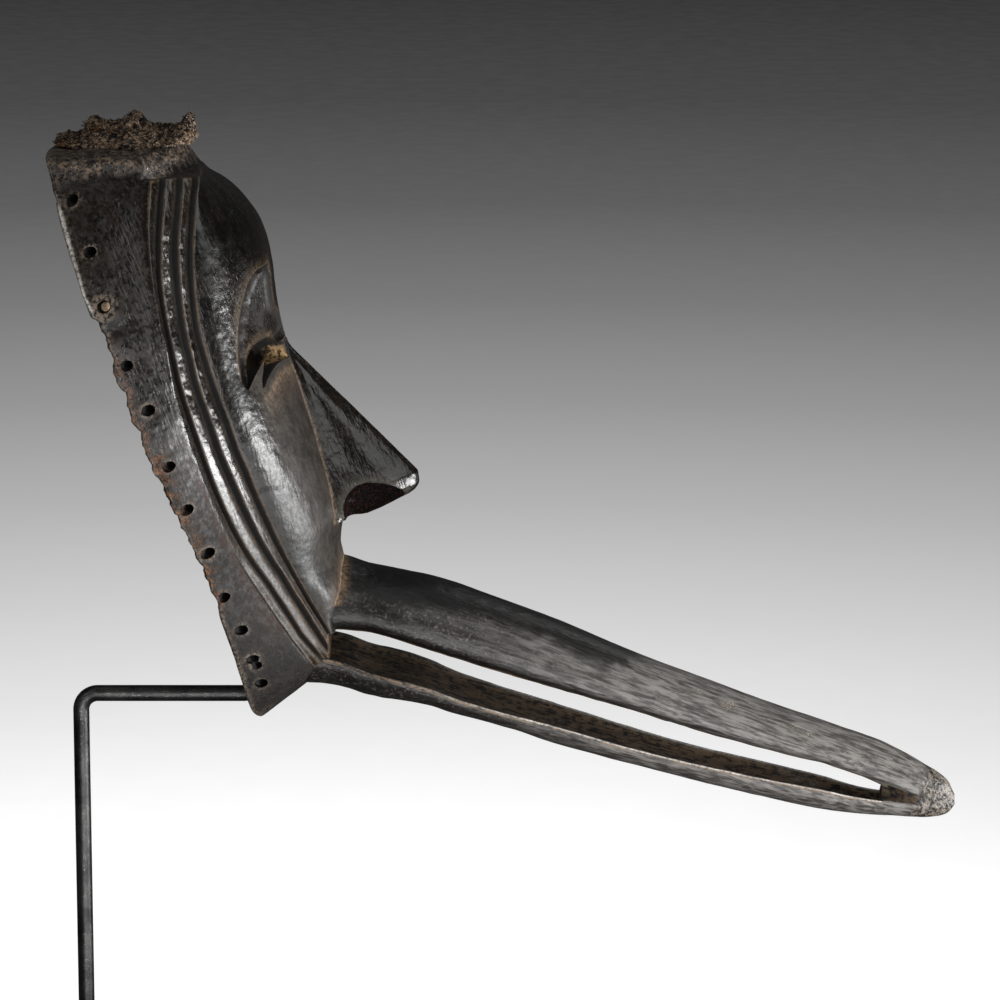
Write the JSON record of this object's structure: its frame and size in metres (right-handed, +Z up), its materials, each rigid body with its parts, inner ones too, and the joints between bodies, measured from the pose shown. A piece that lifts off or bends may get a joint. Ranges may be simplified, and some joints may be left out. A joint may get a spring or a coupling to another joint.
{
  "type": "long-beaked carved face mask on a stand",
  "caption": "Dark wooden face mask with a long open bird's beak, carved in one piece with a hollow back and lashing holes round its rim, held upright on a bent steel rod in a flat plate.",
  "frame": {"origin": "middle of the stand plate's underside", "axes": "+X the way the beak points, +Z up, Y across the face; the mask's right side is at -Y"},
  "size_m": [0.3846, 0.147, 0.3924],
  "materials": {
    "patinated_wood": "dark glossy patina, worn and dusty in the creases",
    "fibre_crust": "matt, fibrous",
    "plug_wood": "matt, worn",
    "rod_steel": "satin black",
    "plate_steel": "satin black"
  },
  "bodies": {
    "root": {"mask": "patinated_wood", "crown_fibre_remains": "fibre_crust", "rim_plug": "plug_wood", "stand_rod": "rod_steel", "stand_plate": "plate_steel"}
  },
  "joints": []
}
